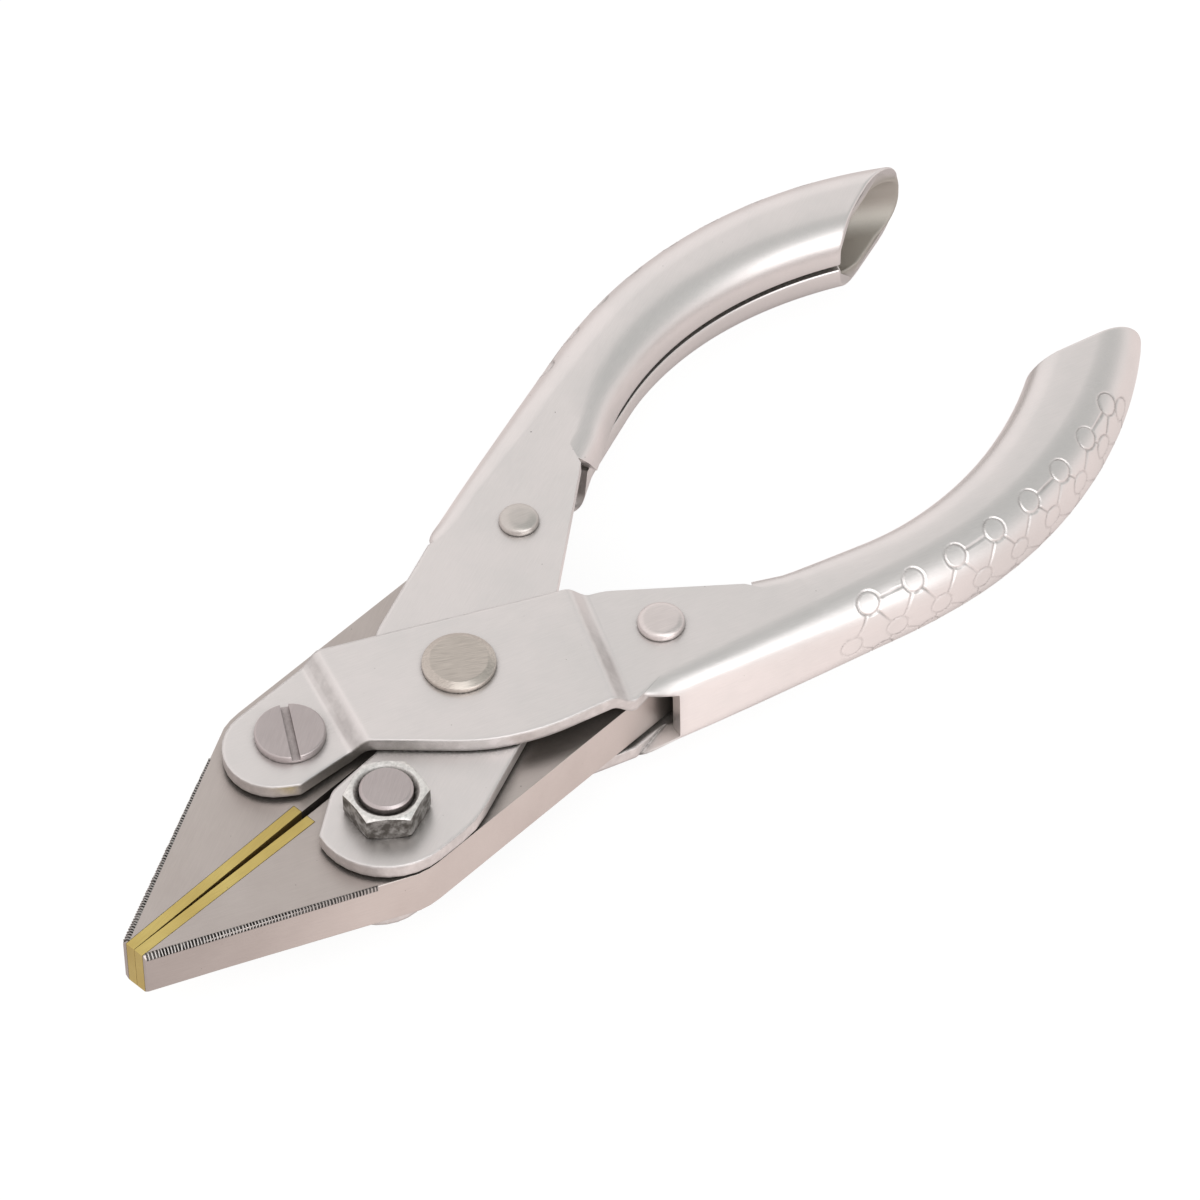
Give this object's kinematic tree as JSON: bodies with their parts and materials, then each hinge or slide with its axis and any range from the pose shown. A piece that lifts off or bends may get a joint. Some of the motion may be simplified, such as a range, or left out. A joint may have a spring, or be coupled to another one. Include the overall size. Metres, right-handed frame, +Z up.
{
  "type": "parallel-action flat nose pliers",
  "caption": "Parallel-action flat nose pliers: folded sheet handles cross on a rivet and carry slotted jaws with brass liners.",
  "frame": {"origin": "middle of the box that the tool fills, at the level of its lowest point, the end of the right pivot bolt", "axes": "+X from the nose to the grips, +Y to the right jaw, +Z up along the pivots"},
  "size_m": [0.1422, 0.0602, 0.0183],
  "materials": {
    "plated_steel": "satin nickel plate",
    "ground_steel": "surface ground",
    "rivet_steel": "turned and brushed",
    "nut_steel": "dull, as machined",
    "brass": "filed"
  },
  "bodies": {
    "left_handle": {"handle_left": "plated_steel", "main_rivet": "rivet_steel", "guide_rivet_left": "rivet_steel", "pivot_bolt_right": "rivet_steel", "pivot_nut_right": "nut_steel"},
    "right_handle": {"handle_right": "plated_steel", "guide_rivet_right": "rivet_steel", "pivot_bolt_left": "rivet_steel", "pivot_nut_left": "nut_steel"},
    "right_jaw": {"jaw_right": "ground_steel", "liner_right": "brass"},
    "left_jaw": {"jaw_left": "ground_steel", "liner_left": "brass"}
  },
  "joints": [
    {"name": "main_pivot", "type": "hinge", "parent": "left_handle", "child": "right_handle", "pos_m": [-0.02078, 0, 0.00913], "axis": [0, 0, 1], "range_deg": [0, 34]},
    {"name": "right_jaw_pivot", "type": "hinge", "parent": "left_handle", "child": "right_jaw", "pos_m": [-0.03968, 0.0075, 0.00913], "axis": [0, 0, 1], "range_deg": [0, 17]},
    {"name": "left_jaw_pivot", "type": "hinge", "parent": "right_handle", "child": "left_jaw", "pos_m": [-0.03968, -0.0075, 0.00913], "axis": [0, 0, 1], "range_deg": [-17, 0]}
  ],
  "couplings": [
    {"joint": "right_jaw_pivot", "follows": "main_pivot", "ratio": 0.5},
    {"joint": "left_jaw_pivot", "follows": "main_pivot", "ratio": -0.5}
  ]
}
